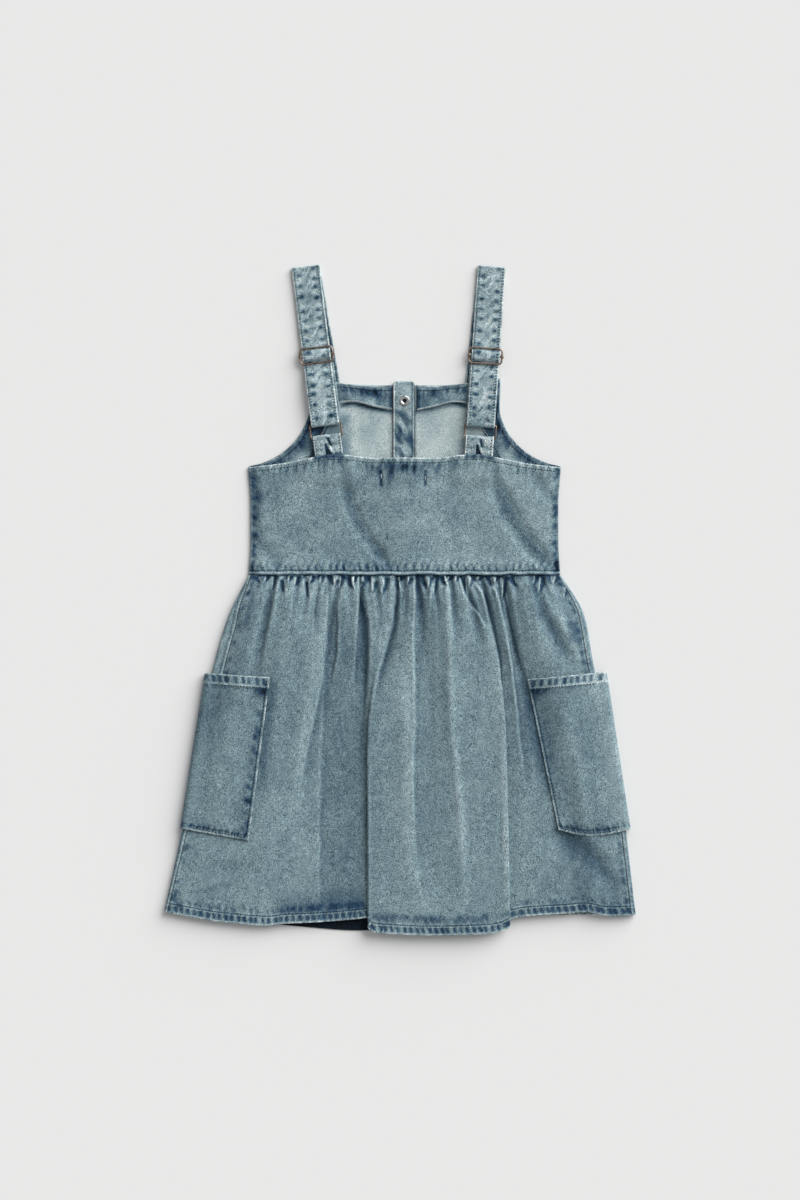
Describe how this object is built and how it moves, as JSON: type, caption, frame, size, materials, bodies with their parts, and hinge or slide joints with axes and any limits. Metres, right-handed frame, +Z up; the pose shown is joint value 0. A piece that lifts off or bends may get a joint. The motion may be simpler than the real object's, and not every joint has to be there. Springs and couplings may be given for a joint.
{
  "type": "denim pinafore dress",
  "caption": "Child's denim pinafore dress laid flat, back up: gathered skirt, patch pockets round its sides, snap-fastened bib front, straps with sliders and rings.",
  "frame": {"origin": "under the middle of the dress's outline, on the surface it lies on", "axes": "+X across the dress to the viewer's right as it lies with its back up, +Y from the hem to the shoulders, +Z up off the surface"},
  "size_m": [0.471, 0.6694, 0.0193],
  "materials": {
    "denim": "stone-washed mid-blue twill denim, pale on worn edges, dark beside the seams",
    "denim_inside": "paler inside of the same denim",
    "copper_wire": "aged copper-plated wire, semi-gloss",
    "snap_metal": "bright nickel plate"
  },
  "bodies": {
    "root": {"back_skirt": "denim", "front_skirt": "denim", "back_bodice": "denim", "front_bodice_left": "denim_inside", "front_bodice_right": "denim_inside", "front_facing_left": "denim", "front_facing_right": "denim", "placket_outer_band": "denim", "placket_inner_band": "denim_inside", "pocket_left": "denim", "pocket_right": "denim", "strap_left": "denim", "strap_right": "denim", "strap_loop_left": "denim", "strap_loop_right": "denim", "ring_left": "copper_wire", "ring_right": "copper_wire", "slider_left": "copper_wire", "slider_right": "copper_wire", "snap_cap_1": "snap_metal", "snap_ring_1": "snap_metal", "snap_cap_2": "snap_metal", "snap_ring_2": "snap_metal", "snap_cap_3": "snap_metal", "snap_ring_3": "snap_metal"}
  },
  "joints": []
}
